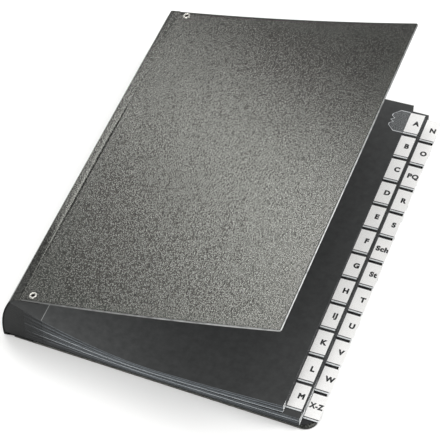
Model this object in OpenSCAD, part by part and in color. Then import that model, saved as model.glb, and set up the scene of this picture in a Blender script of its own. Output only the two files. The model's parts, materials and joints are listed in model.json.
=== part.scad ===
// Alphabetical desk sorter: two board covers on a flexible cloth spine, holding a fanned block of
// index leaves. A leaf is a card glued into a cloth binding strip, with a paper label in a clear
// film tab on its free edge. The tabs stand in two columns, one step further out for the second.
// X runs from the spine to the tabs, Y along the spine from foot to head, Z up from the desk.

/* [Covers] */
// Height of both covers along the spine
cover_h = 340; // [300:1:380]
// Width from the back of the spine to the outer edge of the second column of tabs
overall_w = 264.5; // [255:0.5:285]
// Width of the front board, measured along its curve
front_w = 222; // [190:1:230]
// Thickness of each board
board_t = 2; // [1.5:0.1:3]
// Angle of the open front board above the desk
open_angle = 16.8; // [12:0.1:30]
// Depth of the front board's hollow bow
bow = 2.7; // [1:0.1:5]
// Radius of the back board's free corners
back_corner_r = 11; // [4:0.5:16]
// Radius of the front board's free corners
front_corner_r = 2; // [1:0.5:8]
// Thickness of the lining papers
lining_t = 0.25; // [0.15:0.05:0.5]
// Board left bare around each lining
lining_margin = 3; // [2:0.5:8]

/* [Spine] */
// Height of the spine, from the desk to the front cover's fold
spine_h = 47.5; // [46.5:0.5:50]
// Radius of the spine's bulge
spine_r = 80; // [70:1:110]
// Height at which the spine bulges furthest
bulge_z = 11; // [9:0.5:14]
// Thickness of the spine cloth
cloth_t = 0.6; // [0.4:0.05:0.9]
// Cloth left bare between the fold and the front board, along the board
band_w = 11.7; // [10:0.1:15]
// Height of the front board's face above the fold, square to the board
band_rise = 3.5; // [3.3:0.1:5]
// Cloth left bare between the spine's foot and the back board
foot_band_w = 10; // [7:0.5:14]
// Width of cloth that laps onto each board
flange_w = 16; // [13:0.5:22]

/* [Eyelets] */
// Distance of an eyelet from the front board's spine edge
eyelet_inset = 8.4; // [6:0.1:10]
// Distance of an eyelet from the board's foot or head
eyelet_margin = 5.5; // [5:0.1:12]
// Radius of the hole through an eyelet
eyelet_hole_r = 1.4; // [1:0.1:2]
// Wall of an eyelet's barrel
eyelet_wall = 0.6; // [0.4:0.05:0.9]
// Radius of the rolled rim's section on the outer face
rim_r = 1; // [0.8:0.05:1.3]
// Radius of the clinched rim's section on the inner face
clinch_r = 0.8; // [0.5:0.05:1.1]
// Clearance around an eyelet's barrel
barrel_gap = 0.05; // [0.02:0.01:0.1]

/* [Leaves] */
// Thickness of a leaf's card
card_t = 0.36; // [0.25:0.01:0.4]
// Gap between the upper twelve leaves and the covers' foot edge
upper_foot = 1.5; // [1:0.5:6]
// Gap between the upper twelve leaves and the covers' head edge
upper_head = 2; // [1:0.5:8]
// Gap between the taller lower twelve leaves and the covers' foot or head edge
lower_margin = 0.5; // [0.3:0.1:4]
// Height of the leaf stack at the spine
spine_stack = 42; // [38:0.5:42.5]
// Height of the leaf stack at its waist, where the cards lie closest
waist_stack = 12.2; // [11:0.1:16]
// Height of the leaf stack at the first column of tabs
edge_stack = 18.7; // [17:0.1:24]
// Distance of the waist from the back of the spine
waist_x = 125; // [110:1:140]
// Where the cards begin, inside their binding strips
card_x = 20; // [18:0.5:24]
// Width of the binding strip's flaps on the card
flap_w = 15; // [10:0.5:20]
// Thickness of one flap
flap_t = 0.1; // [0.06:0.01:0.15]
// Gap between the spine cloth and the binding strips
seat_gap = 0.35; // [0.2:0.05:0.5]
// Thickness of a glue film
glue_t = 0.02; // [0.01:0.01:0.04]

/* [Tabs] */
// Distance that a tab stands out from its leaf
tab_w = 13.5; // [10:0.1:14.5]
// How far the second column is set out from the first
column_step = 14; // [12:0.1:15]
// How far the second column stands out past the back board's free edge
tab_overhang = 1.2; // [0.5:0.1:3]
// Gap between neighbouring tabs in a column
tab_gap = 1.8; // [1:0.1:4]
// Gap between an upper leaf's foot and the first column
first_foot = 4.6; // [2:0.1:12]
// Gap between the first column and an upper leaf's head
first_head = 7.9; // [2:0.1:12]
// Gap between a lower leaf's foot and the second column
second_foot = 7.1; // [2:0.1:12]
// Gap between the second column and a lower leaf's head
second_head = 3.9; // [2:0.1:12]
// Thickness of the clear film
film_t = 0.12; // [0.08:0.01:0.15]
// Length of the film's wing on the card
wing_w = 14.5; // [10:0.5:18]
// Corner cut from the wing
wing_cut = 6; // [3:0.5:8]
// Thickness of the paper label
label_t = 0.2; // [0.1:0.02:0.25]
// Gap around the label inside its film
label_gap = 0.4; // [0.3:0.05:1]
// Height of the film's sealed foot, below the label
seal_h = 2.2; // [1:0.1:3]

/* [Hidden] */
letters = ["a", "b", "c", "d", "e", "f", "g", "h", "ij", "k", "l", "m",
           "n", "o", "pq", "r", "s", "sch", "st", "t", "u", "v", "w", "xz"];
leaf_count = len(letters);
column_count = leaf_count / 2;

card_black = "#3b3b3d";
grain_black = "#6a6b6a";
cloth_black = "#353537";
lining_black = "#2f2f31";
nickel = "#c9cac8";
film_clear = "#dfe6ea";

$fn = 96;
arc_fn = 720;
reach = 1000; // longer than anything here, for cutting shapes

// The stack rests just above the cloth that laps onto the back board.
stack_gap = 0.1;
stack_z = board_t + cloth_t + stack_gap;
// A strip fills this share of its layer, so that neighbours stay clear of each other.
strip_fill = 0.93;
// The strips are full until a little before the cards, and taper from there to the end of their flaps.
strip_lead = 6;
strip_full_x = card_x - strip_lead;
flap_end_x = card_x + flap_w;
strip_end_t = card_t + 2 * (glue_t + flap_t);

back_edge = overall_w - tab_overhang;
edge_2 = overall_w - tab_w;
edge_1 = edge_2 - column_step;
film_gap = 0.03; // between film and card
film_z = card_t / 2 + film_gap;

// Powers that shape the top leaf on each side of the waist, read from the photographed block
spine_power = 1.75;
edge_power = 1.5;

// The front board lies on a cylinder that is hollow upwards.
front_r = front_w * front_w / (8 * bow) + bow / 2;
front_half_angle = front_w / 2 / front_r * 180 / PI;
front_chord = 2 * front_r * sin(front_half_angle);
front_axis_x = band_w + front_chord / 2;
front_axis_z = band_rise + front_r * cos(front_half_angle);
fold_x = spine_out(spine_h);
// The front flange starts just inside the cut end of the spine cloth.
fold_clear = 0.15;
fold_gap = (spine_in(spine_h) - fold_x) * cos(open_angle) + fold_clear;

// Outer and inner faces of the spine cloth at height z
function spine_out(z) = spine_r - sqrt(pow(spine_r, 2) - pow(z - bulge_z, 2));
function spine_in(z) = spine_r - sqrt(pow(spine_r - cloth_t, 2) - pow(z - bulge_z, 2));

// Height of the whole stack at x: steep at the spine, lowest at the waist, rising to the tabs
stack_root_x = spine_in(stack_z + spine_stack) + seat_gap;
function stack(x) = x < waist_x
    ? waist_stack + (spine_stack - waist_stack)
        * pow((waist_x - x) / (waist_x - stack_root_x), spine_power)
    : waist_stack + (edge_stack - waist_stack)
        * pow((x - waist_x) / (edge_1 - waist_x), edge_power);

// Middle height of leaf i at x. Leaf 0 is on top, and every leaf takes an even share of the stack.
function leaf_share(i) = (leaf_count - i - 0.5) / leaf_count;
function leaf_z(i, x) = stack_z + leaf_share(i) * stack(x);

// The upper leaves carry the first column of tabs, and the wider and taller lower leaves the second.
function in_first(i) = i < column_count;
function leaf_edge(i) = in_first(i) ? edge_1 : edge_2;
function leaf_foot(i) = in_first(i) ? upper_foot : lower_margin;
function leaf_h(i) = cover_h - leaf_foot(i) - (in_first(i) ? upper_head : lower_margin);
function tab_foot(i) = in_first(i) ? first_foot : second_foot;
function tab_pitch(i) = (leaf_h(i) - tab_foot(i) - (in_first(i) ? first_head : second_head)) / column_count;
function tab_h(i) = tab_pitch(i) - tab_gap;

// Where the strip of leaf i meets the spine, clear of the cloth at its upper and lower corner
function root_guess_z(i) = leaf_z(i, spine_in(leaf_z(i, stack_root_x)) + seat_gap);
function layer_t(x) = stack(x) / leaf_count;
function root_x(i) = let (z = root_guess_z(i), half = layer_t(0) / 2)
    max(spine_in(z + half), spine_in(z - half)) + seat_gap;

// Thickness of a strip at x
function strip_t(x) = x <= strip_full_x
    ? strip_fill * layer_t(x)
    : strip_fill * layer_t(strip_full_x)
        + (strip_end_t - strip_fill * layer_t(strip_full_x))
        * (x - strip_full_x) / (flap_end_x - strip_full_x);

// The line that leaf i turns about: the lower spine edge of its strip
function leaf_axis(i) = [root_x(i), leaf_z(i, root_x(i)) - strip_t(root_x(i)) / 2];

// Places along X where a card's section bends: one at the end of the flaps, then even steps
left_steps = 6;
right_steps = 4;
flat_margin = 1.5;
tab_run = wing_w + flat_margin; // the card is straight under the film and a little beyond
function card_xs(i) = concat(
    [card_x],
    [for (k = [0:left_steps - 1]) flap_end_x + (waist_x - flap_end_x) * k / left_steps],
    [for (k = [0:right_steps]) waist_x + (leaf_edge(i) - tab_run - waist_x) * k / right_steps],
    [leaf_edge(i)]);

// A closed section: the upper line from first to last, then the lower line back
function section(upper, lower) =
    concat(upper, [for (k = [len(lower) - 1:-1:0]) lower[k]]);

function card_section(i) = let (xs = card_xs(i)) section(
    [for (x = xs) [x, leaf_z(i, x) + card_t / 2]],
    [for (x = xs) [x, leaf_z(i, x) - card_t / 2]]);

// One side of a strip's section: out along its face, and back along the card to the card's end
function strip_side(i, side) = let (slot = side * (card_t / 2 + glue_t)) concat(
    [for (x = [root_x(i), strip_full_x, card_x, flap_end_x]) [x, leaf_z(i, x) + side * strip_t(x) / 2]],
    [[flap_end_x, leaf_z(i, flap_end_x) + slot],
     [card_x - glue_t, leaf_z(i, card_x) + slot]]);

function strip_section(i) = section(strip_side(i, 1), strip_side(i, -1));

// The row's origin is under the middle of the object.
module placed() {
    translate([-overall_w / 2, -cover_h / 2, 0]) children();
}

// Carries an X-Z section along the spine, from y = from over a length
module along_spine(from, length) {
    translate([0, from + length, 0]) rotate([90, 0, 0]) linear_extrude(length) children();
}

// Rounds a corner of a board that points towards +X: side is 1 at the head, -1 at the foot
module corner_cutter(x, y, r, side) {
    translate([x - r, y - side * r, -reach / 2]) difference() {
        translate([0, side > 0 ? 0 : -2 * r, 0]) cube([2 * r, 2 * r, reach]);
        cylinder(r = r, h = reach);
    }
}

module free_corners(x, r) {
    corner_cutter(x, cover_h, r, 1);
    corner_cutter(x, 0, r, -1);
}

// The back cover lies flat on the desk.
module back_board() {
    color(grain_black) placed() difference() {
        along_spine(0, cover_h) translate([foot_band_w, 0]) square([back_edge - foot_band_w, board_t]);
        free_corners(back_edge, back_corner_r);
    }
}

module back_lining() {
    start = foot_band_w + flange_w + lining_margin / 2;
    end = back_edge - lining_margin;
    color(lining_black) placed() difference() {
        along_spine(lining_margin, cover_h - 2 * lining_margin)
            translate([start, board_t + glue_t]) square([end - start, lining_t]);
        translate([0, lining_margin, 0]) corner_cutter(end, 0, back_corner_r - lining_margin / 2, -1);
        translate([0, -lining_margin, 0]) corner_cutter(end, cover_h, back_corner_r - lining_margin / 2, 1);
    }
}

// Cloth that rises from the spine's foot and laps onto the back board's inner face
module back_flange() {
    start = spine_out(0) + glue_t;
    low = board_t + glue_t;
    color(cloth_black) placed() along_spine(0, cover_h) polygon([
        [start, 0], [start + 2 * cloth_t, 0], [foot_band_w - cloth_t, low],
        [foot_band_w + flange_w, low], [foot_band_w + flange_w, low + cloth_t - glue_t],
        [foot_band_w - cloth_t, low + cloth_t - glue_t], [start + cloth_t, cloth_t], [start, cloth_t]]);
}

// The flexible spine: a bulged strip of cloth from the desk to the front cover's fold
module spine_cloth() {
    foot = cloth_t + glue_t;
    color(cloth_black) placed() along_spine(0, cover_h) intersection() {
        translate([spine_r, bulge_z]) difference() {
            circle(r = spine_r, $fn = arc_fn);
            circle(r = spine_r - cloth_t, $fn = arc_fn);
        }
        translate([0, foot]) square([spine_r, spine_h - foot]);
    }
}

// A leaf: its card, and the binding strip that holds the card to the spine. All strips are cut to one length.
module leaf(i) {
    color(card_black) placed() {
        along_spine(leaf_foot(i), leaf_h(i)) polygon(card_section(i));
        along_spine(lower_margin, cover_h - 2 * lower_margin) polygon(strip_section(i));
    }
}

// Film of height h folded round the tab's outer edge, with a wing on each face of the card
module film_sleeve(h) {
    wing_y = h / 2 - wing_cut;
    intersection() {
        along_spine(-h / 2, h) difference() {
            translate([-wing_w, -film_z - film_t]) square([wing_w + tab_w, 2 * (film_z + film_t)]);
            translate([-2 * wing_w, -film_z]) square([2 * wing_w + tab_w - film_t, 2 * film_z]);
        }
        translate([0, 0, -reach / 2]) linear_extrude(reach) polygon([
            [-wing_w, -wing_y], [-wing_w + wing_cut, -h / 2], [tab_w, -h / 2],
            [tab_w, h / 2], [-wing_w + wing_cut, h / 2], [-wing_w, wing_y]]);
    }
}

module paper_label(h) {
    translate([label_gap, -h / 2 + seal_h, -label_t / 2])
        cube([tab_w - film_t - 2 * label_gap, h - seal_h - label_gap, label_t]);
}

// A tab carries on the line of its card, in its own place in its column.
module tab(i) {
    edge = leaf_edge(i);
    steps_from_foot = column_count - 0.5 - i % column_count;
    y = leaf_foot(i) + tab_foot(i) + steps_from_foot * tab_pitch(i);
    z = leaf_z(i, edge);
    slope = atan2(z - leaf_z(i, edge - tab_run), tab_run);
    color(film_clear) placed() translate([edge, y, z]) rotate([0, -slope, 0]) {
        film_sleeve(tab_h(i));
        paper_label(tab_h(i));
    }
}

// The front cover's own frame: the fold is its Y axis, and the board's chord lies along X
module front_placed() {
    placed() translate([fold_x, 0, spine_h]) rotate([0, -open_angle, 0]) children();
}

// Section of a layer of the front cover: between two depths below its face, from s0 to s1 along its curve
module front_layer(depth, thickness, s0, s1) {
    function ray(s) = let (a = (s - front_w / 2) / front_r * 180 / PI) 2 * front_r * [sin(a), -cos(a)];
    translate([front_axis_x, front_axis_z]) intersection() {
        difference() {
            circle(r = front_r + depth + thickness, $fn = arc_fn);
            circle(r = front_r + depth, $fn = arc_fn);
        }
        polygon([[0, 0], ray(s0), ray(s1)]);
    }
}

// Places a shape square to the front board's face, at s along its curve
module on_front(s, y) {
    turn = (s - front_w / 2) / front_r * 180 / PI;
    translate([front_axis_x, y, front_axis_z]) rotate([0, -turn, 0]) translate([0, 0, -front_r]) children();
}

module at_eyelets() {
    for (y = [eyelet_margin, cover_h - eyelet_margin]) on_front(eyelet_inset, y) children();
}

module eyelet_bore() {
    through = 4 * (board_t + cloth_t);
    cylinder(r = eyelet_hole_r + eyelet_wall + barrel_gap, h = through, center = true);
}

// Cloth from the fold to under the front board, held there by the eyelets
module front_flange() {
    color(cloth_black) front_placed() difference() {
        along_spine(0, cover_h) {
            front_layer(board_t + glue_t, cloth_t - glue_t, 0, flange_w);
            under = band_rise - board_t;
            polygon([[fold_gap, -cloth_t], [band_w, under - cloth_t], [band_w + cloth_t, under - cloth_t],
                     [band_w + cloth_t, under - 2 * glue_t], [band_w, under - 2 * glue_t], [fold_gap, 0]]);
        }
        at_eyelets() eyelet_bore();
    }
}

module front_board() {
    color(grain_black) front_placed() difference() {
        along_spine(0, cover_h) front_layer(0, board_t, 0, front_w);
        free_corners(band_w + front_chord, front_corner_r);
        at_eyelets() eyelet_bore();
    }
}

module front_lining() {
    color(lining_black) front_placed() along_spine(lining_margin, cover_h - 2 * lining_margin)
        front_layer(board_t + glue_t, lining_t, flange_w + lining_margin / 2, front_w - lining_margin);
}

// A hollow rivet: rolled rim on the board's face, barrel through board and cloth, clinched rim below
module eyelet() {
    grip = board_t + cloth_t + glue_t;
    rotate_extrude() {
        translate([eyelet_hole_r, -grip]) square([eyelet_wall, grip]);
        intersection() {
            translate([eyelet_hole_r + rim_r, 0]) circle(r = rim_r);
            translate([0, glue_t]) square(3 * rim_r + eyelet_hole_r);
        }
        translate([eyelet_hole_r, 0]) square([eyelet_wall, glue_t]);
        intersection() {
            translate([eyelet_hole_r + clinch_r, -grip]) circle(r = clinch_r);
            translate([0, -grip - 2 * clinch_r]) square([3 * clinch_r + eyelet_hole_r, 2 * clinch_r]);
        }
    }
}

module front_eyelets() {
    color(nickel) front_placed() at_eyelets() eyelet();
}

back_board();
back_lining();
back_flange();
spine_cloth();
for (i = [0:leaf_count - 1]) {
    leaf(i);
    tab(i);
}
front_flange();
front_board();
front_lining();
front_eyelets();
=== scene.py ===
import json
import math

import bmesh
import bpy
import numpy as np
from mathutils import Matrix, Quaternion, Vector


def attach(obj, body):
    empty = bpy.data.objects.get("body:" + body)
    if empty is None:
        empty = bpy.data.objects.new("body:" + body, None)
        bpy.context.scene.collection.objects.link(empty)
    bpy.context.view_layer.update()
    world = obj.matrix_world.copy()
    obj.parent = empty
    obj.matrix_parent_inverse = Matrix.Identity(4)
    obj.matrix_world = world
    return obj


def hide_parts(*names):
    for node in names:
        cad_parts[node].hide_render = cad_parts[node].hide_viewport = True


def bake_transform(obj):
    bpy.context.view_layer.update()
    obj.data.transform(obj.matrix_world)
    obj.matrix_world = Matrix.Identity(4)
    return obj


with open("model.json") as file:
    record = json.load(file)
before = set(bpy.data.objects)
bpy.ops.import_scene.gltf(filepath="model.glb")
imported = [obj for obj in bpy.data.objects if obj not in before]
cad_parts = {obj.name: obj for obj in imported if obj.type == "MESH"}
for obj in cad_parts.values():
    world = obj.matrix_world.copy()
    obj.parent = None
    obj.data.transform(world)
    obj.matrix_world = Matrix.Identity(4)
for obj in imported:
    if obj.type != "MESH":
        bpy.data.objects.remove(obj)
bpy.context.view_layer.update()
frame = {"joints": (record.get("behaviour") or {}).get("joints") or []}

# Back cover: a 2 mm pressed board, wrapped in black paper that is laminated and embossed with a fine
# leather grain. It lies flat on the desk, with its two free corners cut round.
mm = 0.001
cover_h = 340 * mm
overall_w = 264.5 * mm  # to the outer edge of the tabs
tab_overhang = 1.2 * mm
back_edge = overall_w - tab_overhang
board_t = 2 * mm
foot_band_w = 10 * mm
back_corner_r = 11 * mm
wrap_r = 0.9 * mm  # the paper rounds the board's edges as it is turned over them
side_worn_lit_w = 0.35 * mm
back_worn_lit_w = 1.4 * mm
grain_size = 1.35 * mm
grain_depth = 0.12 * mm
rub_size = 9 * mm
board_rows = 60
board_columns = 90
corner_rows = 13
wrap_columns = 7
origin = np.array([overall_w / 2, cover_h / 2, 0])  # of the frame, from the spine, foot and desk


def linear(hex_colour):
    """Linear RGBA of an sRGB hex colour."""
    srgb = np.array([int(hex_colour[i:i + 2], 16) for i in (1, 3, 5)]) / 255
    return (*np.where(srgb <= 0.04045, srgb / 12.92, ((srgb + 0.055) / 1.055) ** 2.4), 1.0)


def add(tree, kind, inputs, stops=(), **settings):
    """Adds a shader node. Inputs are values for its sockets, or other nodes' outputs to link to them. Stops
    are the places and colours along a colour ramp."""
    made = tree.nodes.new("ShaderNode" + kind)
    for name, value in settings.items():
        setattr(made, name, value)
    for name, value in inputs.items():
        if isinstance(value, bpy.types.NodeSocket):
            tree.links.new(value, made.inputs[name])
        else:
            made.inputs[name].default_value = value
    for k, (position, colour) in enumerate(stops):
        made.color_ramp.elements[k].position = position
        made.color_ramp.elements[k].color = linear(colour)
    return made


def new_finish(name, **values):
    """A material, its node tree and its shader, with the values that are the same all over it."""
    made = bpy.data.materials.new(name)
    made.use_nodes = True
    shader = made.node_tree.nodes["Principled BSDF"]
    for socket, value in values.items():
        shader.inputs[socket.replace("_", " ")].default_value = value
    return made, made.node_tree, shader


def slab(upper, lower, slots=(0, 0, 0)):
    """A closed sheet between two grids of points: the upper grid, the lower grid turned over, and a wall
    of quads round their outline. Slots are the materials of the three: one each, one for every face of a
    grid, or one for each side of the wall, at the first column, last row, last column and first row."""
    rows, columns = upper.shape[:2]
    at = np.arange(rows * columns).reshape(rows, columns)
    top = np.stack([at[:-1, :-1], at[1:, :-1], at[1:, 1:], at[:-1, 1:]], -1).reshape(-1, 4)
    rim = np.concatenate([at[:-1, 0], at[-1, :-1], at[:0:-1, -1], at[0, :0:-1]])
    after = np.roll(rim, -1)
    wall = np.stack([rim, rim + at.size, after + at.size, after], -1)
    faces = np.concatenate([top, top[:, ::-1] + at.size, wall])
    cells = (rows - 1, columns - 1)
    grid_slots = [np.broadcast_to(slot, cells).ravel() for slot in slots[:2]]
    wall_slots = np.repeat(np.broadcast_to(slots[2], 4), cells * 2)
    points = np.concatenate([upper.reshape(-1, 3), lower.reshape(-1, 3)])
    return points, faces, np.concatenate([*grid_slots, wall_slots])


def piece(name, parts, finishes, body, node, crease=35):
    """One object, made of parts that are each points, faces and material slots. It rides on its body and
    stands for its CAD node. Points count from the spine's bulge, the foot and the desk."""
    mesh = bpy.data.meshes.new(name)
    for finish in finishes:
        mesh.materials.append(finish)
    points = np.concatenate([part[0] for part in parts]) - origin
    starts = np.cumsum([0] + [len(part[0]) for part in parts])
    corners = np.concatenate([(part[1] + start).ravel() for part, start in zip(parts, starts)])
    sizes = np.concatenate([np.full(len(part[1]), part[1].shape[1]) for part in parts])
    mesh.vertices.add(len(points))
    mesh.vertices.foreach_set("co", points.astype(np.float32).ravel())
    mesh.loops.add(len(corners))
    mesh.loops.foreach_set("vertex_index", corners.astype(np.int32))
    mesh.polygons.add(len(sizes))
    mesh.polygons.foreach_set("loop_start", (np.cumsum(sizes) - sizes).astype(np.int32))
    mesh.polygons.foreach_set("material_index", np.concatenate([part[2] for part in parts]).astype(np.int32))
    mesh.update(calc_edges=True)
    mesh.shade_smooth()
    mesh.set_sharp_from_angle(angle=math.radians(crease))
    made = bpy.data.objects.new(name, mesh)
    bpy.context.scene.collection.objects.link(made)
    if body:
        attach(made, body)
    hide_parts(node)
    return made


def board_grid(length, corner_r, margin=0.0):
    """Lengths from the spine side and places along Y, on a grid that is close along its free outline. At each
    length the two sides draw in by what a circle takes off the free corners, so these come out round."""
    close = wrap_r * (1 - np.cos(np.linspace(0, math.pi / 2, wrap_columns)))
    turn = np.linspace(0, math.pi / 2, corner_rows)[1:]
    straight = length - corner_r
    along = np.concatenate([np.linspace(0, straight, board_rows), straight + corner_r * np.sin(turn)])
    into = np.clip(along - straight, 0, corner_r)
    half = cover_h / 2 - margin - corner_r + np.sqrt(corner_r ** 2 - into ** 2)
    rim = close / (cover_h / 2)
    inner = np.linspace(rim[-1] - 1, 1 - rim[-1], board_columns)
    side = np.concatenate([rim[:-1] - 1, inner, 1 - rim[-2::-1]])
    return np.repeat(along[:, None], len(side), 1), cover_h / 2 + half[:, None] * side


def flat_grid(along, across, start, z):
    """Points of a board grid that lies at height z, from x = start."""
    return np.stack(np.broadcast_arrays(start + along, across, z), -1)


def wrapped_board(place, length, corner_r, worn_lit_w, worn_lit_slots):
    """A board in its wrapping paper. Place gives the points of a grid at a depth below the face, and near
    the free outline both faces draw in on a quarter circle by the distance from it. Worn slots are the
    materials of the paper along the free edge, where a strip of the face of the given width is rubbed
    paler and carries a painted highlight, and along the two sides."""
    along, across = board_grid(length, corner_r)
    u = along - (length - corner_r)
    v = np.abs(across - cover_h / 2) - (cover_h / 2 - corner_r)
    inside = corner_r - np.hypot(np.clip(u, 0, None), np.clip(v, 0, None)) - np.minimum(np.maximum(u, v), 0)
    short = wrap_r - np.clip(inside, 0, wrap_r)
    drop = wrap_r - np.sqrt(wrap_r ** 2 - short ** 2)
    free = (length - along)[1:, 1:]
    near = np.minimum(inside[1:, 1:], inside[1:, :-1])
    slots = np.where(free < worn_lit_w, worn_lit_slots[0], np.where(near < side_worn_lit_w, worn_lit_slots[1], 0))
    wall = (worn_lit_slots[1], worn_lit_slots[0], worn_lit_slots[1], 0)
    return slab(place(along, across, drop), place(along, across, board_t - drop), (slots, slots, wall))


# Embossed paper under a clear satin laminate, a little yellow: the grain breaks its broad reflection into a
# fine speckle, paler and glossier where it is raised. The real grain is about 0.6 mm, and is drawn about
# twice as coarse so that it shows.
def embossed_paper(name, deep_colour, raised_colour):
    made, tree, shader = new_finish(name, Roughness=0.192, Specular_Tint=linear("#fffff5"))
    place = add(tree, "TexCoord", {}).outputs["Object"]
    warp = add(tree, "TexNoise", {"Vector": place, "Scale": 0.5 / grain_size, "Detail": 2})
    half_grain = (grain_size / 2,) * 3
    shift = add(tree, "VectorMath", {0: warp.outputs["Color"], 1: half_grain}, operation="MULTIPLY")
    bent = add(tree, "VectorMath", {0: place, 1: shift.outputs[0]})
    cells = add(tree, "TexVoronoi", {"Vector": bent.outputs[0], "Scale": 1 / grain_size}, feature="F1")
    fine = add(tree, "TexNoise", {"Vector": place, "Scale": 2 / grain_size, "Detail": 3})
    height = add(tree, "Math", {0: cells.outputs["Distance"], 1: fine.outputs[0]}, operation="ADD")
    bump = add(tree, "Bump", {"Height": height.outputs[0], "Strength": 0.4, "Distance": grain_depth},
               invert=True)
    shine = add(tree, "MapRange", {"Value": height.outputs[0], "From Min": 0.6, "From Max": 1.4,
                                   "To Min": 0.685, "To Max": 0.23})
    tone = add(tree, "ValToRGB", {"Fac": cells.outputs["Distance"]},
               [(0.25, raised_colour), (0.6, deep_colour)])
    tree.links.new(tone.outputs[0], shader.inputs["Base Color"])
    tree.links.new(shine.outputs[0], shader.inputs["Specular IOR Level"])
    tree.links.new(bump.outputs[0], shader.inputs["Normal"])
    return made


# Where the paper is folded over the board it is stretched and rubbed, so its grain is flatter and paler;
# the pale tone is also a painted highlight for the light that the board's edges catch. Along one axis it
# passes from dark to pale, towards where hands take hold of it and where more light falls on the edge.
def rubbed_and_lit_edge(name, dark_colour, pale_colour, axis, dark_end, pale_end):
    made, tree, shader = new_finish(name, Roughness=0.5)
    place = add(tree, "TexCoord", {}).outputs["Object"]
    rub = add(tree, "TexNoise", {"Vector": place, "Scale": 1 / rub_size, "Detail": 4, "Roughness": 0.65})
    run = add(tree, "SeparateXYZ", {"Vector": place}).outputs[axis]
    handled = add(tree, "MapRange", {"Value": run, "From Min": dark_end, "From Max": pale_end, "To Min": 0.35})
    worn = add(tree, "Math", {0: rub.outputs[0], 1: handled.outputs[0]}, operation="MULTIPLY")
    tone = add(tree, "ValToRGB", {"Fac": worn.outputs[0]}, [(0.2, dark_colour), (0.5, pale_colour)])
    tree.links.new(tone.outputs[0], shader.inputs["Base Color"])
    return made


cover_paper = embossed_paper("embossed_laminated_paper", "#020302", "#2b2c2a")
# Back board's free edge: rubbed pale, and a painted highlight that keeps it pale in the tabs' shade.
worn_lit_back_edge = rubbed_and_lit_edge("worn_back_edge", "#161716", "#dcdddc", "Y",
                        dark_end=14 * mm - cover_h / 2, pale_end=26 * mm - cover_h / 2)


def on_back(along, across, depth):
    """Points of a board grid on the back cover, at a depth below its inner face."""
    return flat_grid(along, across, foot_band_w, board_t - depth)


back_wrap = wrapped_board(on_back, back_edge - foot_band_w, back_corner_r, back_worn_lit_w, (1, 0))
piece("back_board_wrapped", [back_wrap], [cover_paper, worn_lit_back_edge], "root", "back_board")

# Back lining: matt black paper pasted on the inner face, 3 mm short of the board's edges, over the
# turned-in ends of the wrapping paper.
lining_t = 0.25 * mm
lining_margin = 3 * mm
flange_w = 16 * mm
glue_t = 0.02 * mm
cloud_size = 6 * mm
fibre_size = 0.5 * mm
fibre_depth = 0.05 * mm


# Dull stuff, first of all uncoated paper dyed black: almost no gloss, with the cloudy tone and fine fibres of
# its pulp. Its tone may be painted lighter towards the spine: painted light, for the light that reaches in
# under the front cover.
def dull_finish(name, dark_colour, pale_colour, roughness, spine_painted_light=1.0):
    made, tree, shader = new_finish(name, Roughness=roughness, Specular_IOR_Level=0.3)
    place = add(tree, "TexCoord", {}).outputs["Object"]
    cloud = add(tree, "TexNoise", {"Vector": place, "Scale": 1 / cloud_size, "Detail": 5, "Roughness": 0.6})
    tone = add(tree, "ValToRGB", {"Fac": cloud.outputs[0]}, [(0.3, dark_colour), (0.7, pale_colour)])
    fibre = add(tree, "TexNoise", {"Vector": place, "Scale": 1 / fibre_size, "Detail": 3})
    bump = add(tree, "Bump", {"Height": fibre.outputs[0], "Strength": 0.25, "Distance": fibre_depth})
    x = add(tree, "SeparateXYZ", {"Vector": place}).outputs["X"]
    gain = add(tree, "MapRange", {"Value": x, "From Min": -overall_w / 2, "From Max": overall_w / 4,
                                  "To Min": spine_painted_light})
    lit = add(tree, "VectorMath", {0: tone.outputs[0], "Scale": gain.outputs[0]}, operation="SCALE")
    tree.links.new(lit.outputs[0], shader.inputs["Base Color"])
    tree.links.new(bump.outputs[0], shader.inputs["Normal"])
    return made


lining_paper = dull_finish("dyed_lining_paper", "#242425", "#2b2b2c", 0.75)
lining_start = flange_w + lining_margin / 2
lining_x = foot_band_w + lining_start
past_board = board_t + glue_t
lining_length = back_edge - lining_x - lining_margin
along, across = board_grid(lining_length, back_corner_r - lining_margin / 2, lining_margin)
faces = [flat_grid(along, across, lining_x, z) for z in (past_board + lining_t, past_board)]
piece("back_lining_paper", [slab(*faces)], [lining_paper], "root", "back_lining")

# Front cover's place: it folds up from the top of the spine, and its board is bowed hollow upwards, so
# its face lies on a cylinder.
open_angle = math.radians(16.8)
front_w = 222 * mm
bow = 2.7 * mm
band_w = 11.7 * mm
band_rise = 3.5 * mm
front_r = front_w ** 2 / (8 * bow) + bow / 2
front_half_angle = front_w / 2 / front_r
fold_at = next(j["pos_m"] for j in frame["joints"] if j["name"] == "front_cover_fold")
fold_x = fold_at[0] + overall_w / 2
fold_z = fold_at[2]


def from_fold(x, z):
    """X and Z of places given in the front cover's own frame, which is turned about the fold."""
    return (fold_x + x * math.cos(open_angle) - z * math.sin(open_angle),
            fold_z + x * math.sin(open_angle) + z * math.cos(open_angle))


def front_section(length, depth):
    """X and Z at a length along the front board's curve and a depth below its face: a point on a circle
    whose centre is above the board, at the angle that the length takes up on the face's radius."""
    angle = length / front_r - front_half_angle
    x = band_w + front_r * math.sin(front_half_angle) + (front_r + depth) * np.sin(angle)
    z = band_rise + front_r * math.cos(front_half_angle) - (front_r + depth) * np.cos(angle)
    return from_fold(x, z)


def front_grid(along, across, depth):
    """Points of a board grid on the front cover, at a depth below its face."""
    x, z = front_section(along, depth)
    return np.stack([x, across, z], -1)


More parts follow.
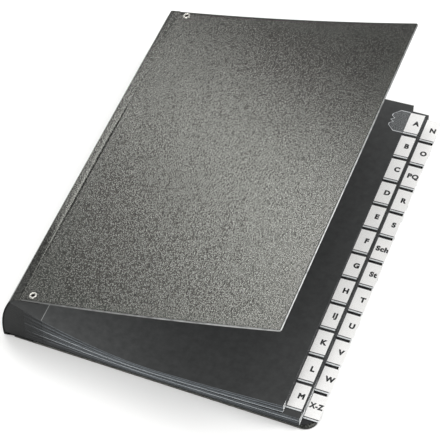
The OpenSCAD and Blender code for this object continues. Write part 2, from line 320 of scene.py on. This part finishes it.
# Spine cloth: one strip of book cloth, coated and embossed like the covers, and glued to the leaves' binding
# strips. It laps onto the back board, bulges up round the block, folds, and runs on as a bare band that is
# pressed into a groove along the front board and goes on under it. The band has crept up at the head.
spine_h = 47.5 * mm
spine_r = 80 * mm
bulge_z = 11 * mm
cloth_t = 0.6 * mm
fold_r = 1 * mm
fold_share = 0.15  # of the way from the fold to the crown, where the cloth has left the fold
lap_gap = 2 * glue_t
cloth_rows = 25
strip_columns = 9
band_columns = 90
lap_columns = 40
corner_steps = 40


def line_at(line, steps):
    """Points and outward normals of a line in X and Z, at steps that may fall between its points."""
    way = np.gradient(line, axis=0)
    count = np.arange(len(line))
    way = np.stack([np.interp(steps, count, way[:, k]) for k in (0, 1)], -1)
    way /= np.linalg.norm(way, axis=1)[:, None]
    at = np.stack([np.interp(steps, count, line[:, k]) for k in (0, 1)], -1)
    return at, np.stack([-way[:, 1], way[:, 0]], -1)


def sheet_along(lines, places, steps, thickness):
    """A sheet as tall as the covers. Its outer face follows a line in X and Z at each of some places, given
    as shares of that height. It passes from one to the next quickly at first, and is level where it
    arrives."""
    share = np.linspace(0, 1, cloth_rows)
    k = np.clip(np.searchsorted(places, share, side="right") - 1, 0, len(places) - 2)
    passed = (share - np.take(places, k)) / np.take(np.diff(places), k)
    passed = (passed * (2 - passed))[:, None, None]
    grids = []
    for depth in (0, thickness):
        faces = []
        for line in lines:
            at, normal = line_at(line, steps)
            faces.append(at - depth * normal)
        faces = np.array(faces)
        xz = np.swapaxes((1 - passed) * faces[k] + passed * faces[k + 1], 0, 1)
        y = np.broadcast_to(share * cover_h, xz.shape[:2])
        grids.append(np.stack([xz[..., 0], y, xz[..., 1]], -1))
    return slab(*grids, (0, 0, 1))


book_cloth = embossed_paper("embossed_book_cloth", "#020302", "#2f302d")
# Its cut edge shows the dull core of the cloth.
cut_cloth = dull_finish("cut_cloth_edge", "#1c1d1d", "#2b2c2c", 0.8)

arc_z = np.linspace(0, spine_h - fold_r, 120)
arc = np.stack([spine_r - np.sqrt(spine_r ** 2 - (arc_z - bulge_z) ** 2), arc_z], -1)


def rounded(corner_points):
    """A smooth line through the middles of a polygon's sides: a quadratic curve round each inner corner."""
    middles = (corner_points[1:] + corner_points[:-1]) / 2
    starts = np.concatenate([corner_points[:1], middles[1:-1]])
    ends = np.concatenate([middles[1:-1], corner_points[-1:]])
    t = np.linspace(0, 1, corner_steps)[1:, None, None]
    curve = (1 - t) ** 2 * starts + 2 * t * (1 - t) * corner_points[1:-1] + t ** 2 * ends
    return np.concatenate([corner_points[:1], np.moveaxis(curve, 0, 1).reshape(-1, 2)])


def cloth_line(fold_place, crown_place, ridge_place, groove_w, shoulder=0.0):
    """The cloth's outer face in X and Z: up the bulge, round the fold, over the crown, down from the ridge
    into the groove and on under the board. The fold, the crown, where the cloth starts to slope to the
    groove, and the ridge are given in the front cover's own frame. A shoulder is how far the cloth stands up
    past the fold, out of the straight line to the crown."""
    past_fold = (1 - fold_share) * np.array(fold_place) + fold_share * np.array(crown_place) + [0, shoulder]
    groove_place = (band_w - groove_w, band_rise - board_t - lap_gap)
    band = [from_fold(*p) for p in (fold_place, past_fold, crown_place, ridge_place, groove_place)]
    lap = np.stack(front_section(np.linspace(0, flange_w, 20), board_t + lap_gap), -1)
    corners = np.stack([arc[-1], *band, lap[0]])
    return np.concatenate([arc, rounded(corners)[1:], lap[1:]])


# From the foot, where it lies as it was made, to the head: lifted, with the groove still open, then drawn
# level with the board over a closed groove, and sloping off towards the fold.
lifted = ((2.2 * mm, 3.8 * mm), (8.4 * mm, 3.43 * mm), (10.9 * mm, 3.05 * mm))
level_crown = (11.3 * mm, 3.6 * mm)
level_ridge = (11.66 * mm, 3.57 * mm)
closed_groove = 0.02 * mm
foot_cloth = cloth_line((0, 0), (7.5 * mm, 1.9 * mm), (10.2 * mm, 2.2 * mm), 0.6 * mm)
cloth_lines = [
    foot_cloth,
    cloth_line(*lifted, 0.5 * mm),
    cloth_line(*lifted, 0.45 * mm),
    cloth_line((2.4 * mm, 4 * mm), level_crown, level_ridge, closed_groove),
    cloth_line((2.3 * mm, 3.5 * mm), level_crown, level_ridge, closed_groove, shoulder=0.3 * mm)]
cloth_places = [0, 0.3, 0.55, 0.82, 1]
fold_step = len(arc) + corner_steps // 2

# The cloth bends a little at every leaf's hinge, so it is made in strips with one hinge in the middle of
# each. Their edges are shared.
turns = frame["joints"]
hinge_step = np.interp([j["pos_m"][2] for j in turns], arc_z, np.arange(len(arc)))
edges = np.concatenate([[0], (hinge_step[1:] + hinge_step[:-1]) / 2, [fold_step]])
for joint, low, high in zip(turns, edges[:-1], edges[1:]):
    name = "spine_cloth_" + joint["child"].replace("_body", "")
    bend = sheet_along(cloth_lines, cloth_places, np.linspace(low, high, strip_columns), cloth_t)
    strip = piece(name, [bend], [book_cloth, cut_cloth], None, "spine_cloth")
    start, end = line_at(foot_cloth, np.array([low, high]))[0] - origin[[0, 2]]
    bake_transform(strip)

band_steps = np.linspace(fold_step, len(foot_cloth) - 1, band_columns)
band = sheet_along(cloth_lines, cloth_places, band_steps, cloth_t - lap_gap)
front_flange = piece("front_flange_cloth", [band], [book_cloth, cut_cloth],
                     "front_cover", "front_flange")

foot_x = arc[0, 0] + glue_t
rise = np.linspace(0, 1, 16)
foot_line = np.stack([foot_x + (foot_band_w - foot_x) * rise,
                      cloth_t + board_t * rise ** 2 * (3 - 2 * rise)], -1)
foot_line = np.concatenate([foot_line, [[foot_band_w + flange_w, cloth_t + board_t]]])
foot_steps = np.linspace(0, len(foot_line) - 1, lap_columns)
foot_lap = sheet_along([foot_line] * 2, [0, 1], foot_steps, cloth_t - lap_gap)
back_flange = piece("back_flange_cloth", [foot_lap], [book_cloth, cut_cloth],
                    "root", "back_flange")

# Leaves: 24 cards of stiff black card, each glued into a folded cloth binding strip. The strips are
# thick at the spine and fill it, and the cards lie close at the waist and rise again to the tabs. All are
# flush at the spine, and the upper twelve are trimmed on a slight slant to their shorter free edges.
titles = ["A", "B", "C", "D", "E", "F", "G", "H", "IJ", "K", "L", "M",
          "N", "O", "PQ", "R", "S", "Sch", "St", "T", "U", "V", "W", "X-Z"]
keys = [title.lower().replace("-", "") for title in titles]
leaf_count = len(titles)
column_count = leaf_count // 2
card_t = 0.36 * mm
upper_foot = 1.5 * mm
upper_head = 2 * mm
lower_margin = 0.5 * mm
spine_stack = 42 * mm
waist_stack = 12.2 * mm
edge_stack = 18.7 * mm
waist_x = 125 * mm
card_x = 20 * mm
strip_full_x = 14 * mm
flap_end_x = 35 * mm
flap_t = 0.1 * mm
flap_line = 0.5 * mm
seat_gap = 0.35 * mm
strip_fill = 0.97
rest_gap = 0.1 * mm
stack_z = board_t + cloth_t + rest_gap
spine_power = 1.75
edge_power = 1.5
tab_w = 13.5 * mm
column_step = 14 * mm
edge_2 = overall_w - tab_w
edge_1 = edge_2 - column_step
leaf_edges = [edge_1, edge_2]
leaf_feet = [upper_foot, lower_margin]
leaf_heads = [cover_h - upper_head, cover_h - lower_margin]
most_slip = 0.2 * mm
cut_run = 40 * mm
cut_layer = 0.9 * mm
deepest_shade_x = 24 * mm
shade_end_x = 52 * mm
ragged_size = 12 * mm


def spine_in(z):
    """X of the spine cloth's inner face at height z."""
    return spine_r - np.sqrt((spine_r - cloth_t) ** 2 - (z - bulge_z) ** 2)


root_1 = spine_in(stack_z + spine_stack) + seat_gap


def stack(x):
    """Height of the whole stack at x: it falls steeply from the spine to the waist and rises to the tabs,
    each side as a power of the distance from the waist."""
    left = np.clip((waist_x - x) / (waist_x - root_1), 0, None) ** spine_power
    right = np.clip((x - waist_x) / (edge_1 - waist_x), 0, None) ** edge_power
    return waist_stack + (spine_stack - waist_stack) * left + (edge_stack - waist_stack) * right


def leaf_z(i, x):
    """Middle height of leaf i at x: its even share of the stack, counted from the desk."""
    return stack_z + (leaf_count - i - 0.5) / leaf_count * stack(x)


def strip_thickness(x):
    """A strip fills its layer up to strip_full_x, and tapers to two flaps round the card."""
    full = strip_fill * stack(np.minimum(x, strip_full_x)) / leaf_count
    thin = card_t + 2 * (glue_t + flap_t)
    share = np.clip((x - strip_full_x) / (flap_end_x - strip_full_x), 0, 1)
    return full + (thin - full) * share


def leaf_root(i):
    """X at which the strip of leaf i meets the spine, clear of the cloth at both of its corners."""
    z = leaf_z(i, spine_in(leaf_z(i, root_1)) + seat_gap)
    half = stack(0.0) / leaf_count / 2
    return max(spine_in(z + half), spine_in(z - half)) + seat_gap


def extruded(xz, y_low, y_high):
    """A line in X and Z carried along Y, as a grid of two columns."""
    return np.stack([np.stack(np.broadcast_arrays(xz[:, 0], y, xz[:, 1]), -1) for y in (y_low, y_high)], 1)


def round_card(i, x, half):
    """A line in X and Z that comes in under leaf i and goes out over it, half a thickness from its middle."""
    lower = np.stack([x, leaf_z(i, x) - half], -1)
    upper = np.stack([x, leaf_z(i, x) + half], -1)
    return np.concatenate([lower[::-1], upper])


# Dyed card: matt, near black and a little cloudy. Its guillotined foot edges are bluish. Those of a few
# leaves that stand out a little are painted paler than the rest: painted highlights where the edges catch
# the light. Towards the spine the cut edges are painted darker: painted shade.
# The card is painted lighter towards the spine: painted light under the raised front cover.
leaf_card = dull_finish("dyed_index_card", "#323333", "#3c3d3d", 0.7, spine_painted_light=2.2)


def cut_card(name, dark_colour, pale_colour):
    made, tree, shader = new_finish(name, Roughness=0.6)
    place = add(tree, "TexCoord", {}).outputs["Object"]
    layers = add(tree, "Mapping", {"Vector": place, "Scale": (1 / cut_run, 1 / cut_run, 1 / cut_layer)})
    shade = add(tree, "TexNoise", {"Vector": layers.outputs[0], "Scale": 1.0, "Detail": 2})
    tone = add(tree, "ValToRGB", {"Fac": shade.outputs[0]}, [(0.35, dark_colour), (0.68, pale_colour)])
    x = add(tree, "SeparateXYZ", {"Vector": place}).outputs["X"]
    spine_shade_scale = add(tree, "MapRange", {"Value": x, "From Min": deepest_shade_x - overall_w / 2,
                                    "From Max": shade_end_x - overall_w / 2, "To Min": 0.12})
    faded = add(tree, "VectorMath", {0: tone.outputs[0], "Scale": spine_shade_scale.outputs[0]}, operation="SCALE")
    tree.links.new(faded.outputs[0], shader.inputs["Base Color"])
    return made


pale_cut = cut_card("cut_card_edge_pale", "#c3cbd1", "#eaf0f4")
middle_cut = cut_card("cut_card_edge_middle", "#666c71", "#8b9298")
dark_cut = cut_card("cut_card_edge_dark", "#2e3235", "#464b4f")
# The pale and middle copies are painted highlights on the leaves whose edges catch more light.
foot_cuts = dict.fromkeys(titles, dark_cut)
foot_cuts.update(dict.fromkeys(["L", "S"], pale_cut))
foot_cuts.update(dict.fromkeys(["A", "D", "E", "H", "K", "N", "PQ", "T"], middle_cut))


# The free edges lie behind the tabs and keep the card's dark edge tone, but for the last stretch by the
# foot, which is painted pale: a painted highlight where light from the right catches them, reaching
# furthest up the lowest leaves.
def free_edge_painted_lit(name, lit_length):
    made, tree, shader = new_finish(name, Roughness=0.6)
    place = add(tree, "TexCoord", {}).outputs["Object"]
    y = add(tree, "SeparateXYZ", {"Vector": place}).outputs["Y"]
    ragged = add(tree, "TexNoise", {"Vector": place, "Scale": 1 / ragged_size, "Detail": 1})
    reached = add(tree, "Math", {0: ragged.outputs[0], 1: lit_length / 3, 2: y}, operation="MULTIPLY_ADD")
    near = add(tree, "MapRange", {"Value": reached.outputs[0], "From Min": lit_length * 1.2 - cover_h / 2,
                                  "From Max": lit_length * 0.9 - cover_h / 2})
    tone = add(tree, "ValToRGB", {"Fac": near.outputs[0]}, [(0, "#2a2b2d"), (1, "#eceeee")])
    tree.links.new(tone.outputs[0], shader.inputs["Base Color"])
    return made


free_edge = free_edge_painted_lit("free_card_edge", 8 * mm)
low_free_edge = free_edge_painted_lit("rubbed_free_card_edge", 46 * mm)
first_lit_free_edge = titles.index("Sch")
strip_cloth = dull_finish("binding_strip_cloth", "#434444", "#4d4e4e", 0.6)
strip_end = dull_finish("cut_strip_end", "#151616", "#1c1d1d", 0.7)
flap_edge = dull_finish("binding_flap_edge", "#252626", "#2e2f2f", 0.7)
# The first leaf's flap edge is drawn pale.
pale_flap = dull_finish("worn_binding_flap_edge", "#858685", "#a0a1a0", 0.7)

shuffle = np.random.default_rng(11)
strip_low = lower_margin
strip_high = cover_h - lower_margin
for i, (title, key) in enumerate(zip(titles, keys)):
    body = "leaf_" + key + "_body"
    column = i // column_count
    x = np.concatenate([np.linspace(card_x, waist_x, 40), np.linspace(waist_x, leaf_edges[column], 40)[1:]])
    middle = leaf_z(i, x)
    slip = shuffle.uniform(-1, 1) * most_slip
    trim = np.linspace(0, 1, len(x))
    low = strip_low + (leaf_feet[column] - strip_low) * trim + slip
    high = strip_high + (leaf_heads[column] - strip_high) * trim + slip
    faces = [extruded(np.stack([x, middle + side * card_t / 2], -1), low, high) for side in (1, -1)]
    card_free_edge = low_free_edge if i >= first_lit_free_edge else free_edge
    piece("card_" + key, [slab(*faces, (0, 0, (1, 2, 1, 1)))], [leaf_card, foot_cuts[title], card_free_edge],
          body, "leaf_" + key)
    out = np.concatenate([np.linspace(leaf_root(i), flap_end_x - flap_line, 24), [flap_end_x]])
    outer = round_card(i, out, strip_thickness(out) / 2)
    inner = round_card(i, np.maximum(out, card_x - glue_t), card_t / 2 + glue_t)
    faces = [extruded(line, strip_low, strip_high) for line in (outer, inner)]
    outer_slots = np.zeros((len(outer) - 1, 1), int)
    outer_slots[[0, -1]] = 1
    flap = pale_flap if i == 0 else flap_edge
    piece("binding_strip_" + key, [slab(*faces, (outer_slots, 0, (2, 0, 2, 0)))],
          [strip_cloth, flap, strip_end], body, "leaf_" + key)

# Tabs: a clear film folded round a white paper label, with wings that are stuck to both faces of the
# card. The film is welded shut below the label, in a narrow milky seam.
tab_gap = 1.8 * mm
tab_feet = [4.6 * mm, 7.1 * mm]
tab_heads = [7.9 * mm, 3.9 * mm]
film_t = 0.12 * mm
film_gap = 0.03 * mm
wing_w = 14.5 * mm
wing_cut = 6 * mm
tab_run = 16 * mm  # of the card's end, which gives the tab its slope
bite_half_w = 2.2 * mm
bite_depth = 3 * mm
label_t = 0.2 * mm
label_gap = 0.4 * mm
label_start = 0.4 * mm
label_end = tab_w - film_t - label_gap
seal_h = 2.2 * mm
weld_h = 1.25 * mm
tab_pitches = [(leaf_heads[k] - tab_heads[k] - leaf_feet[k] - tab_feet[k]) / column_count for k in (0, 1)]
film_in = card_t / 2 + film_gap
film_out = film_in + film_t
film_border = 0.7 * mm
letter_h = 5.8 * mm
letter_x = 8.4 * mm
letter_margin = 0.5 * mm
ink_t = 0.02 * mm
haze_size = 3 * mm
pulp_size = 2.5 * mm
clear_slot, border_slot, weld_slot, wing_slot = range(4)


def on_tab(points, i):
    """Moves points from a tab's own frame to its place on leaf i: turned to the slope of the card's edge,
    and set out from the edge at the tab's step in its column."""
    column, step = divmod(i, column_count)
    edge = leaf_edges[column]
    rise = leaf_z(i, edge) - leaf_z(i, edge - tab_run)
    slope = math.atan2(rise, tab_run)
    middle = leaf_feet[column] + tab_feet[column] + (column_count - 0.5 - step) * tab_pitches[column]
    x, y, z = np.moveaxis(points, -1, 0)
    return np.stack([edge + x * math.cos(slope) - z * math.sin(slope), middle + y,
                     leaf_z(i, edge) + x * math.sin(slope) + z * math.cos(slope)], -1)


def film_sleeve(tab_h, bites):
    """Film carried round the tab: out over the upper face, round a half circle at the free edge, and back
    under it. The wings' corners are cut, and bites is how far the upper wing's end is torn at each y."""
    wing = np.array([-wing_w, film_border - wing_w, wing_cut - wing_w, -wing_cut / 2, 0,
                     tab_w / 2, tab_w - film_out])
    stuck = np.count_nonzero(wing < 0)
    turn = np.linspace(math.pi / 2, -math.pi / 2, 9)[1:-1]
    within = 1 - 2 * film_border / tab_h
    across = np.concatenate([[-1], np.linspace(-within, within, 61), [1]])
    grids = []
    for radius in (film_out, film_in):
        x = np.concatenate([wing, tab_w - film_out + radius * np.cos(turn), wing[::-1]])
        z = np.concatenate([np.full(len(wing), radius), radius * np.sin(turn), np.full(len(wing), -radius)])
        half = tab_h / 2 - np.clip(wing_cut - wing_w - x, 0, wing_cut)
        y = half[:, None] * across
        x = np.repeat(x[:, None], len(across), 1)
        x[:2] += bites(y[:2])
        grids.append(np.stack(np.broadcast_arrays(x, y, z[:, None]), -1))
    slots = np.full((len(x) - 1, len(across) - 1), clear_slot)
    for end in (slots[:stuck], slots[-stuck:]):
        end[:] = wing_slot
        end[:, [0, -1]] = border_slot
    slots[[0, -1]] = border_slot
    return grids, (slots, clear_slot, border_slot)


def torn(y):
    """Two saw-tooth bites along the wing's end, one on each side of its middle."""
    tooth = 1 - np.abs((y / bite_half_w) % 2 - 1)
    return np.where(np.abs(y) < 2 * bite_half_w, tooth * bite_depth, 0)


def whole(y):
    """No bites."""
    return np.zeros_like(y)


def inlay(i, end, y_low, y_high, slot=0):
    """A flat sheet as thick as a label in the tab of leaf i, from the label's start out to an end."""
    x, y = np.meshgrid([label_start, end], [y_low, y_high], indexing="ij")
    grids = [on_tab(np.stack([x, y, np.full_like(x, z)], -1), i) for z in (label_t / 2, -label_t / 2)]
    return slab(*grids, (slot, slot, slot))


capital_h = 0.73  # of the built-in face, for a text of size 1
bold = 0.062


def printed(title, i):
    """Letters of the built-in sans face, made bold by a bevel that stands out round their outlines, and
    turned into a thin solid of ink that lies on the label, right of its middle. Long titles are narrowed."""
    curve = bpy.data.curves.new("letters", "FONT")
    curve.body = title
    curve.align_x = "CENTER"
    curve.align_y = "CENTER"
    curve.bevel_depth = bold
    curve.bevel_resolution = 0
    curve.space_character = 1.15
    holder = bpy.data.objects.new("letters", curve)
    bpy.context.scene.collection.objects.link(holder)
    flat = bpy.data.meshes.new_from_object(holder.evaluated_get(bpy.context.evaluated_depsgraph_get()))
    flat.calc_loop_triangles()
    points = np.empty(len(flat.vertices) * 3, np.float32)
    flat.vertices.foreach_get("co", points)
    triangles = np.empty(len(flat.loop_triangles) * 3, np.int32)
    flat.loop_triangles.foreach_get("vertices", triangles)
    bpy.data.objects.remove(holder)
    bpy.data.curves.remove(curve)
    bpy.data.meshes.remove(flat)
    points = points.reshape(-1, 3).astype(float)
    middle = (points.max(0) + points.min(0)) / 2
    scale = letter_h / (capital_h + 2 * bold)
    width = (points[:, 0].max() - points[:, 0].min()) * scale
    room = label_end - label_start - 2 * letter_margin
    fit = min(1, room / width)
    points = (points - middle) * [scale * fit, scale, ink_t / (2 * bold)]
    across = min(letter_x, label_end - letter_margin - width * fit / 2)
    points += [across, seal_h / 2, label_t / 2 + ink_t / 2]
    triangles = triangles.reshape(-1, 3)
    return on_tab(points, i), triangles, np.ones(len(triangles), int)


# Polyester film: clear, but for the weld, where its two layers are melted together. The wing of the first
# tab is handled most: it has come loose, with a haze that lifts the black card to grey. Its border is painted
# pale and nearly opaque: a painted reflection of the light along the film's cut edge.
def polyester(name, dull_colour, clear_colour, alpha):
    made, tree, shader = new_finish(name, Alpha=alpha)
    place = add(tree, "TexCoord", {}).outputs["Object"]
    haze = add(tree, "TexNoise", {"Vector": place, "Scale": 1 / haze_size, "Detail": 4})
    tone = add(tree, "ValToRGB", {"Fac": haze.outputs[0]}, [(0, dull_colour), (1, clear_colour)])
    gloss = add(tree, "MapRange", {"Value": haze.outputs[0], "To Min": 0.14, "To Max": 0.32})
    tree.links.new(tone.outputs[0], shader.inputs["Base Color"])
    tree.links.new(gloss.outputs[0], shader.inputs["Roughness"])
    return made


clear_film = polyester("clear_polyester_film", "#d2d8db", "#eaeef0", 0.015)
glued_film = polyester("glued_polyester_film", "#d2d8db", "#eaeef0", 0.1)
film_edge_painted_glint = polyester("cut_film_border", "#d8dde0", "#eef1f2", 0.65)
weld = polyester("welded_film", "#d0d3d4", "#e9ebec", 0.82)
# Label paper is bright white and smooth, and the ink on it is dense black.
label_paper, tree, shader = new_finish("white_label_paper", Roughness=0.6)
place = add(tree, "TexCoord", {}).outputs["Object"]
pulp = add(tree, "TexNoise", {"Vector": place, "Scale": 1 / pulp_size, "Detail": 4})
tone = add(tree, "ValToRGB", {"Fac": pulp.outputs[0]}, [(0, "#e5e4e2"), (1, "#efeeec")])
tree.links.new(tone.outputs[0], shader.inputs["Base Color"])
ink = dull_finish("black_printing_ink", "#0a0a0a", "#121212", 0.5)

for i, (title, key) in enumerate(zip(titles, keys)):
    body = "leaf_" + key + "_body"
    tab_h = tab_pitches[i // column_count] - tab_gap
    grids, slots = film_sleeve(tab_h, torn if i == 0 else whole)
    sleeve = slab(*[on_tab(grid, i) for grid in grids], slots)
    seam = inlay(i, tab_w - 2 * film_out, -tab_h / 2, weld_h - tab_h / 2, weld_slot)
    border, wing = (film_edge_painted_glint, glued_film) if i == 0 else (clear_film, clear_film)
    piece("film_" + key, [sleeve, seam], [clear_film, border, weld, wing], body, "tab_" + key)
    paper = inlay(i, label_end, seal_h - tab_h / 2, tab_h / 2 - label_gap)
    piece("label_" + key, [paper, printed(title, i)], [label_paper, ink], body, "tab_" + key)

# Front cover: the same wrapped board, narrower than the back so that the tabs show. Its lining covers
# the inner face, over the turned-in paper and the end of the spine cloth.
front_corner_r = 2 * mm
front_worn_lit_w = 0.12 * mm
# Front board's free, head and foot edges: rubbed paler, and a painted highlight along the lit edges,
# brightest towards the foot and the free side.
worn_free_edge = rubbed_and_lit_edge("worn_free_edge", "#2a2b2a", "#b9bab9", "Y", dark_end=115 * mm, pale_end=-60 * mm)
rubbed_and_lit_side = rubbed_and_lit_edge("rubbed_paper_side", "#4e4f4e", "#949594", "X",
                          dark_end=20 * mm - overall_w / 2, pale_end=80 * mm)
front_wrap = wrapped_board(front_grid, front_w, front_corner_r, front_worn_lit_w, (1, 2))
front_board = piece("front_board_wrapped", [front_wrap], [cover_paper, worn_free_edge, rubbed_and_lit_side],
                    "front_cover", "front_board")
along, across = board_grid(front_w - lining_start - lining_margin, front_corner_r, lining_margin)
faces = [front_grid(along + lining_start, across, depth) for depth in (past_board, past_board + lining_t)]
piece("front_lining_paper", [slab(*faces)], [lining_paper], "front_cover", "front_lining")

# Eyelets: two hollow rivets of nickel-plated brass through bores in the board and the cloth, with a rolled
# rim outside and a clinched rim inside. Each is turned from one closed profile.
eyelet_inset = 8.4 * mm
eyelet_margin = 5.5 * mm
eyelet_hole_r = 1.4 * mm
eyelet_wall = 0.6 * mm
eyelet_sides = 48
rim_r = 1 * mm
clinch_r = 0.8 * mm
barrel_gap = 0.05 * mm
tarnish_size = 1.2 * mm
nickel, tree, shader = new_finish("nickel_plated_brass", Metallic=1.0)
place = add(tree, "TexCoord", {}).outputs["Object"]
tarnish = add(tree, "TexNoise", {"Vector": place, "Scale": 1 / tarnish_size, "Detail": 3})
tone = add(tree, "ValToRGB", {"Fac": tarnish.outputs[0]}, [(0, "#9b9a95"), (1, "#c6c4be")])
gloss = add(tree, "MapRange", {"Value": tarnish.outputs[0], "To Min": 0.18, "To Max": 0.34})
tree.links.new(tone.outputs[0], shader.inputs["Base Color"])
tree.links.new(gloss.outputs[0], shader.inputs["Roughness"])
# The bores are painted dull and almost black: painted shade inside the eyelets' holes.
bore_painted_shade = dull_finish("tarnished_bore", "#0c0c0b", "#181817", 0.8)


def lathe(profile, centre, axis_x, axis_z):
    """A closed profile of radius and height, turned round an axis that stands at centre and points along
    axis_z. It is closed both ways, so its last ring and its last side meet the first. The last ring is the
    bore, with a material of its own."""
    turn = np.linspace(0, 2 * math.pi, eyelet_sides, endpoint=False)
    axis_y = np.cross(axis_z, axis_x)
    around = np.cos(turn)[:, None] * axis_x + np.sin(turn)[:, None] * axis_y
    points = centre + profile[:, None, :1] * around + profile[:, None, 1:] * axis_z
    at = np.arange(len(profile) * eyelet_sides).reshape(len(profile), eyelet_sides)
    ahead = np.roll(at, -1, 0)
    faces = np.stack([at, np.roll(at, -1, 1), np.roll(ahead, -1, 1), ahead], -1).reshape(-1, 4)
    slots = np.repeat([0] * (len(profile) - 1) + [1], eyelet_sides)
    return points.reshape(-1, 3), faces, slots


grip = board_t + cloth_t
half_turn = np.linspace(0, math.pi, 13)
roll_in = np.cos(half_turn)
roll_up = np.sin(half_turn)
rim = np.stack([eyelet_hole_r + rim_r * (1 - roll_in), rim_r * roll_up], -1)
clinch = np.stack([eyelet_hole_r + clinch_r * (1 + roll_in), -grip - clinch_r * roll_up], -1)
barrel = eyelet_hole_r + eyelet_wall
profile = np.concatenate([rim, [[barrel, 0], [barrel, -grip]], clinch])
seat = np.array(front_section(np.array([eyelet_inset, eyelet_inset + rim_r]), 0.0))
tangent = np.array([seat[0, 1] - seat[0, 0], 0, seat[1, 1] - seat[1, 0]])
tangent /= np.linalg.norm(tangent)
upright = np.cross(tangent, [0, 1, 0])
eyelet_places = [np.array([seat[0, 0], y, seat[1, 0]]) for y in (eyelet_margin, cover_h - eyelet_margin)]
eyelets = [lathe(profile, place, tangent, upright) for place in eyelet_places]
piece("eyelets_nickel", eyelets, [nickel, bore_painted_shade], "front_cover", "front_eyelets")


def bored(sheet, radius):
    """Cuts the eyelets' bores through a sheet: a Boolean modifier takes away a rod at each eyelet, and its
    result becomes the sheet's mesh."""
    rods = bmesh.new()
    stand = Matrix((tangent, (0, 1, 0), upright)).transposed().to_4x4()
    for place in eyelet_places:
        at = Matrix.Translation(place - origin)
        bmesh.ops.create_cone(rods, cap_ends=True, segments=eyelet_sides, radius1=radius, radius2=radius,
                              depth=8 * grip, matrix=at @ stand)
    rod_mesh = bpy.data.meshes.new("rods")
    rods.to_mesh(rod_mesh)
    rods.free()
    borer = bpy.data.objects.new("borer", rod_mesh)
    bpy.context.scene.collection.objects.link(borer)
    cut = sheet.modifiers.new("eyelet_bores", "BOOLEAN")
    cut.object = borer
    cut.solver = "EXACT"
    uncut = sheet.data
    sheet.data = bpy.data.meshes.new_from_object(sheet.evaluated_get(bpy.context.evaluated_depsgraph_get()))
    sheet.modifiers.clear()
    bpy.data.objects.remove(borer)
    bpy.data.meshes.remove(rod_mesh)
    bpy.data.meshes.remove(uncut)


bored(front_flange, barrel + barrel_gap)
bored(front_board, barrel + barrel_gap)

# Studio: a pale floor, a strip light behind the spine that the grained cover mirrors, a key light above
# the tabs, a fill on the foot, a low one from the right that reaches in under the cover, and the
# photograph's camera.
floor_mesh = bpy.data.meshes.new("floor")
reach = 6.0
floor_z = -0.2 * mm
floor_mesh.from_pydata([(-reach, -reach, floor_z), (reach, -reach, floor_z), (reach, reach, floor_z),
                        (-reach, reach, floor_z)], [], [(0, 1, 2, 3)])
floor = bpy.data.objects.new("floor", floor_mesh)
bpy.context.scene.collection.objects.link(floor)
floor_paint, _, _ = new_finish("pale_floor", Base_Color=linear("#f6f6f5"), Roughness=0.9)
floor_mesh.materials.append(floor_paint)

world = bpy.data.worlds.new("studio")
bpy.context.scene.world = world
world.use_nodes = True
world.node_tree.nodes["Background"].inputs["Color"].default_value = linear("#ffffff")
world.node_tree.nodes["Background"].inputs["Strength"].default_value = 0.88


def soft_light(name, place, aim, width, height, power, turn=0.0):
    """A rectangular area light at place that faces aim, turned about its own axis."""
    lamp = bpy.data.lights.new(name, "AREA")
    lamp.shape = "RECTANGLE"
    lamp.size = width
    lamp.size_y = height
    lamp.energy = power
    holder = bpy.data.objects.new(name, lamp)
    holder.location = place
    holder.rotation_mode = "QUATERNION"
    facing = (Vector(aim) - Vector(place)).to_track_quat("-Z", "Y")
    holder.rotation_quaternion = facing @ Quaternion((0, 0, 1), turn)
    bpy.context.scene.collection.objects.link(holder)


soft_light("sheen", place=(-0.885, 0.625, 1.031), aim=(0.05, 0, 0.06),
           width=0.9, height=0.09, power=4.5, turn=0.711)
soft_light("key", place=(0.7, 0.6, 2), aim=(0.05, 0, 0), width=1.2, height=1.2, power=11)
soft_light("front_fill", place=(-0.3, -1.3, 1.1), aim=(-0.03, -0.1, 0.03), width=0.8, height=0.8, power=8)
soft_light("side_fill", place=(1.3, 0.25, 0.3), aim=(-0.05, -0.08, 0.03), width=0.6, height=0.3, power=11)

view_azimuth = math.radians(19.82)
view_elevation = math.radians(50.65)
view_roll = math.radians(1.2)
view_distance = 1733.25 * mm
view_target = Vector((124.52 * mm - overall_w / 2, 161 * mm - cover_h / 2, 15.91 * mm))
photo_side = 440
focal_pixels = 2092
camera_data = bpy.data.cameras.new("photo_view")
camera_data.sensor_width = 36
camera_data.lens = camera_data.sensor_width * focal_pixels / photo_side
back = Vector((math.sin(view_azimuth) * math.cos(view_elevation),
               -math.cos(view_azimuth) * math.cos(view_elevation),
               math.sin(view_elevation)))
camera = bpy.data.objects.new("photo_view", camera_data)
camera.rotation_mode = "QUATERNION"
camera.rotation_quaternion = back.to_track_quat("Z", "Y") @ Quaternion((0, 0, 1), view_roll)
camera.location = view_target + back * view_distance
bpy.context.scene.collection.objects.link(camera)
bpy.context.scene.camera = camera
bpy.context.scene.view_settings.view_transform = "Standard"
